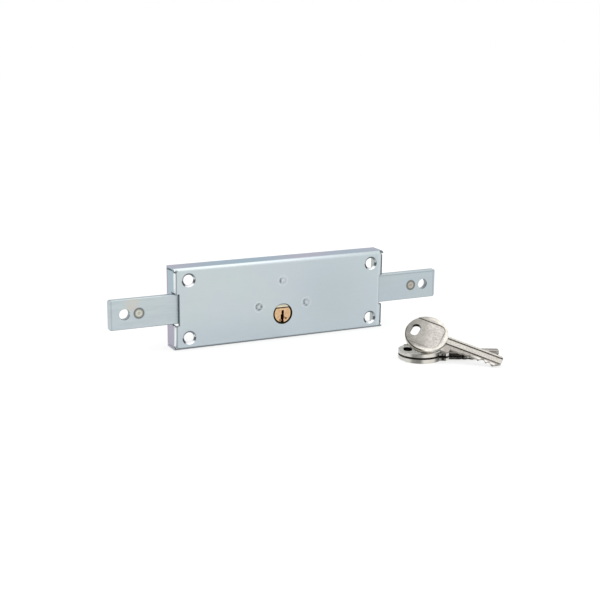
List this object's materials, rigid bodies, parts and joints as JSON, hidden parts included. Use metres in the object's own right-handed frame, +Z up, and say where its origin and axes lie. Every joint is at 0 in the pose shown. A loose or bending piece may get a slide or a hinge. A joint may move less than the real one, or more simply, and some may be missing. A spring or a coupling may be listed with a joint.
{
  "type": "rim lock",
  "caption": "Surface-mounted shutter lock: folded steel case, opposed flat bars drawn in by a quarter turn of a round brass pin cylinder, with flat keys.",
  "frame": {"origin": "middle of the four fixing holes, on the outer plane of the case's front face", "axes": "+X to the right along the bars, +Y from the face back towards the door, +Z up; the case stands on its lower flange"},
  "size_m": [0.2442, 0.1556, 0.055],
  "materials": {
    "zinc_plated_sheet": "bright zinc plating, faint blue and green tints",
    "zinc_plated_bar": "bright zinc plating",
    "post_steel": "turned steel, zinc plated",
    "stud_steel": "turned steel, yellowish",
    "gear_steel": "plain steel, machined",
    "screw_steel": "zinc plated",
    "spring_steel": "bright wire and strip",
    "brass": "turned",
    "plug_brass": "turned and faced",
    "nickel_silver": "nickel plated, softly polished"
  },
  "bodies": {
    "root": {"case": "zinc_plated_sheet", "back_plate": "zinc_plated_sheet", "top_post": "post_steel", "left_post": "post_steel", "right_post": "post_steel", "cylinder_body": "brass", "cylinder_screws": "screw_steel", "chamber_strip": "brass", "driver_pin_1": "brass", "pin_spring_1": "spring_steel", "driver_pin_2": "brass", "pin_spring_2": "spring_steel", "driver_pin_3": "brass", "pin_spring_3": "spring_steel", "driver_pin_4": "brass", "pin_spring_4": "spring_steel", "driver_pin_5": "brass", "pin_spring_5": "spring_steel"},
    "plug": {"plug": "plug_brass", "driver_gear": "gear_steel", "plug_clip": "spring_steel", "key_pin_1": "plug_brass", "key_pin_2": "plug_brass", "key_pin_3": "plug_brass", "key_pin_4": "plug_brass", "key_pin_5": "plug_brass"},
    "left_bar": {"left_bar": "zinc_plated_bar", "left_bar_stud": "stud_steel"},
    "right_bar": {"right_bar": "zinc_plated_bar", "right_bar_stud": "stud_steel"},
    "keys": {"key_1": "nickel_silver", "key_2": "nickel_silver", "key_3": "nickel_silver"}
  },
  "joints": [
    {"name": "left_bar_slide", "type": "slide", "parent": "root", "child": "left_bar", "axis": [1, 0, 0], "range_m": [0, 0.01885]},
    {"name": "right_bar_slide", "type": "slide", "parent": "root", "child": "right_bar", "axis": [-1, 0, 0], "range_m": [0, 0.01885]},
    {"name": "plug_turn", "type": "hinge", "parent": "root", "child": "plug", "pos_m": [0, 0, -0.01], "axis": [0, 1, 0], "range_deg": [0, 90]},
    {"name": "keys_lift", "type": "slide", "parent": "root", "child": "keys", "axis": [0, 0, 1], "range_m": [0, 0.06]}
  ],
  "couplings": [
    {"joint": "right_bar_slide", "follows": "left_bar_slide", "ratio": 1},
    {"joint": "plug_turn", "follows": "left_bar_slide", "rad_per_m": 83.333}
  ]
}
